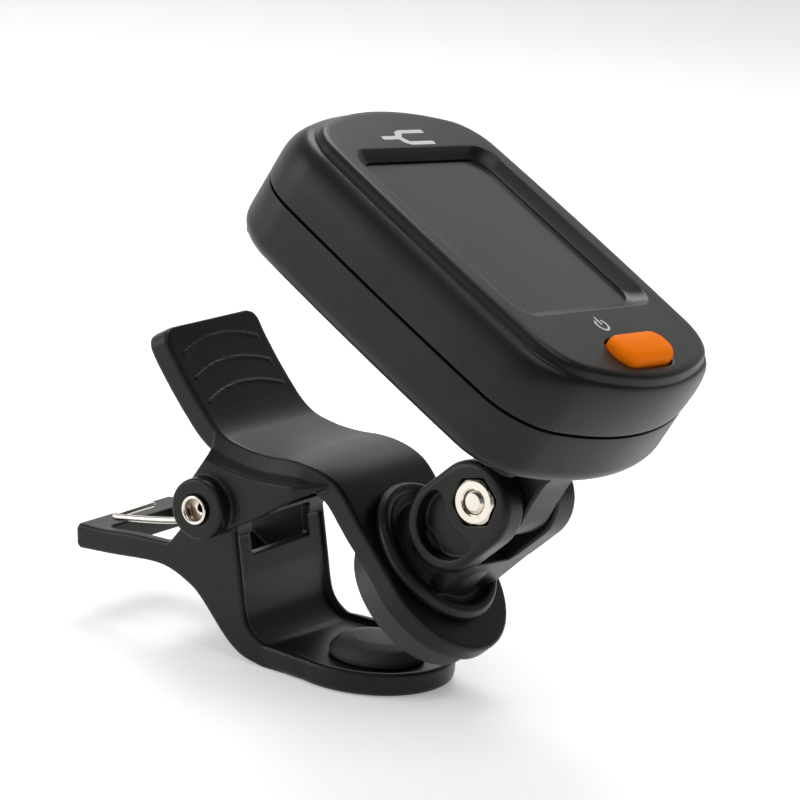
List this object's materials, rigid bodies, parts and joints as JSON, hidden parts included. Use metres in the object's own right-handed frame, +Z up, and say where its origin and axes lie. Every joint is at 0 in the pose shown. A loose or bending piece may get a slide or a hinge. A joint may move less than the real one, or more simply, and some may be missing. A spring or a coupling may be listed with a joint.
{
  "type": "clip-on instrument tuner",
  "caption": "Clip-on instrument tuner: a sprung jaw clip, a swivelling fork and a tilting display head with a window and one push button.",
  "frame": {"origin": "on the flat underside of the lower jaw, at the centre of its round end, where the clip stands on a table", "axes": "+X from the thumb plates towards the jaw tips, Y parallel to the clip's hinge rivet, +Z up"},
  "size_m": [0.0775, 0.043, 0.0716],
  "materials": {
    "satin_black_plastic": "satin moulded black plastic, fine spark texture",
    "dark_rubber": "soft dark rubber",
    "grey_rubber": "dull grey rubber",
    "nickel_steel": "nickel plated, slightly warm",
    "spring_wire": "drawn spring wire",
    "zinc_steel": "zinc plated",
    "smoked_lens": "smoked clear acrylic, glossy",
    "lcd_glass": "liquid crystal cell, unlit",
    "white_diffuser": "milky light guide",
    "circuit_green": "green solder mask",
    "component_black": "moulded component body",
    "orange_button": "satin orange",
    "contact_brass": "bare brass"
  },
  "bodies": {
    "lower_clip": {"lower_jaw": "satin_black_plastic", "lower_pad": "dark_rubber", "hinge_rivet": "nickel_steel", "torsion_spring": "spring_wire"},
    "upper_clip": {"upper_jaw": "satin_black_plastic", "upper_pad": "grey_rubber"},
    "fork": {"fork": "satin_black_plastic", "tilt_bolt": "nickel_steel", "hex_nut": "nickel_steel", "swivel_screw": "zinc_steel", "swivel_washer": "zinc_steel"},
    "head": {"front_shell": "satin_black_plastic", "rear_shell": "satin_black_plastic", "display_lens": "smoked_lens", "lcd_panel": "lcd_glass", "backlight_panel": "white_diffuser", "zebra_strip_1": "grey_rubber", "zebra_strip_2": "grey_rubber", "circuit_board": "circuit_green", "tact_switch": "component_black", "controller_chip": "component_black", "quartz_crystal": "nickel_steel", "coin_cell": "zinc_steel", "battery_contact_negative": "contact_brass", "battery_contact_positive": "contact_brass", "piezo_sensor": "contact_brass", "case_screw_1": "zinc_steel", "case_screw_2": "zinc_steel", "case_screw_3": "zinc_steel", "case_screw_4": "zinc_steel"},
    "button": {"power_button": "orange_button"},
    "door": {"battery_door": "satin_black_plastic"}
  },
  "joints": [
    {"name": "jaw_open", "type": "hinge", "parent": "lower_clip", "child": "upper_clip", "pos_m": [-0.0187, 0, 0.0198], "axis": [0, -1, 0], "range_deg": [0, 45], "stiffness_Nm_per_rad": 0.2, "springref_deg": -28.65, "deforming": ["torsion_spring"]},
    {"name": "fork_swivel", "type": "hinge", "parent": "upper_clip", "child": "fork", "pos_m": [0.00794, 0, 0.01738], "axis": [0.7132, 0, 0.7009], "continuous": true},
    {"name": "head_tilt", "type": "hinge", "parent": "fork", "child": "head", "pos_m": [0.01814, 0, 0.0274], "axis": [0.0635, 0.9959, -0.0646], "range_deg": [-20, 108]},
    {"name": "button_press", "type": "slide", "parent": "head", "child": "button", "axis": [-0.4596, -0.0283, -0.8877], "range_m": [0, 0.0005], "stiffness_N_per_m": 400},
    {"name": "door_lift", "type": "slide", "parent": "head", "child": "door", "axis": [-0.4596, -0.0283, -0.8877], "range_m": [0, 0.006]}
  ]
}
